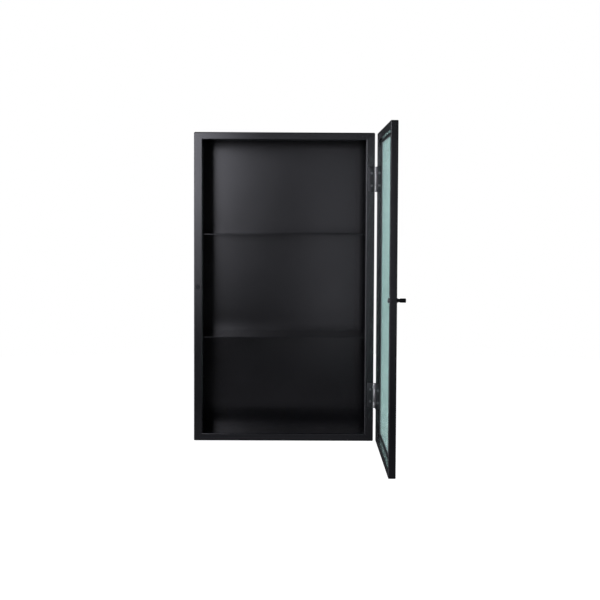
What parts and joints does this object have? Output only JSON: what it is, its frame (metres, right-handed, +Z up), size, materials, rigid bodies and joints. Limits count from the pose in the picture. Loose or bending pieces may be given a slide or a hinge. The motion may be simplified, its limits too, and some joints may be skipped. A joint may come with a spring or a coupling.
{
  "type": "wall display cabinet",
  "caption": "Slim wall-hung steel display cabinet with two fixed shelves and a framed ribbed-glass door on side hinges, hung on keyholes in its back.",
  "frame": {"origin": "in the wall plane, halfway between the centres of the two keyhole entry holes", "axes": "+X to the right seen from the front, +Y from the front towards the wall, +Z up; the rest pose has the door open at a right angle"},
  "size_m": [0.3816, 0.5081, 0.6],
  "materials": {
    "black_coated_steel": "smooth satin powder coat, black",
    "hinge_steel": "blackened steel, knuckles rubbed bare",
    "blackened_screw": "blackened steel",
    "black_knob": "satin black",
    "ribbed_glass": "vertically ribbed, pale green, translucent",
    "foam_tape": "black mounting tape",
    "black_seal": "black silicone bead",
    "black_plastic": "moulded, matte",
    "magnet": "plated, dull"
  },
  "bodies": {
    "case": {"frame_left_stile": "black_coated_steel", "frame_right_stile": "black_coated_steel", "frame_top_rail": "black_coated_steel", "frame_bottom_rail": "black_coated_steel", "side_panel_left": "black_coated_steel", "side_panel_right": "black_coated_steel", "top_panel": "black_coated_steel", "bottom_panel": "black_coated_steel", "back_panel": "black_coated_steel", "rear_top_rail": "black_coated_steel", "rear_bottom_rail": "black_coated_steel", "shelf_lower": "black_coated_steel", "shelf_upper": "black_coated_steel", "shelf_lower_angle_left": "black_coated_steel", "shelf_lower_angle_right": "black_coated_steel", "shelf_upper_angle_left": "black_coated_steel", "shelf_upper_angle_right": "black_coated_steel", "magnet_sleeve": "black_plastic", "catch_magnet": "magnet", "hinge_lower_case_leaf": "hinge_steel", "hinge_upper_case_leaf": "hinge_steel", "hinge_case_screws": "blackened_screw"},
    "door": {"door_hinge_stile": "black_coated_steel", "door_free_stile": "black_coated_steel", "door_top_rail": "black_coated_steel", "door_bottom_rail": "black_coated_steel", "door_glass": "ribbed_glass", "glass_tape": "foam_tape", "glass_seal": "black_seal", "hinge_lower_door_leaf": "hinge_steel", "hinge_upper_door_leaf": "hinge_steel", "hinge_lower_pin": "hinge_steel", "hinge_upper_pin": "hinge_steel", "hinge_door_screws": "blackened_screw", "door_knob": "black_knob", "knob_screw": "blackened_screw", "knob_washer": "blackened_screw"}
  },
  "joints": [
    {"name": "door_hinge", "type": "hinge", "parent": "case", "child": "door", "pos_m": [0.17735, -0.1567, 0], "axis": [0, 0, 1], "range_deg": [-90, 90]}
  ]
}
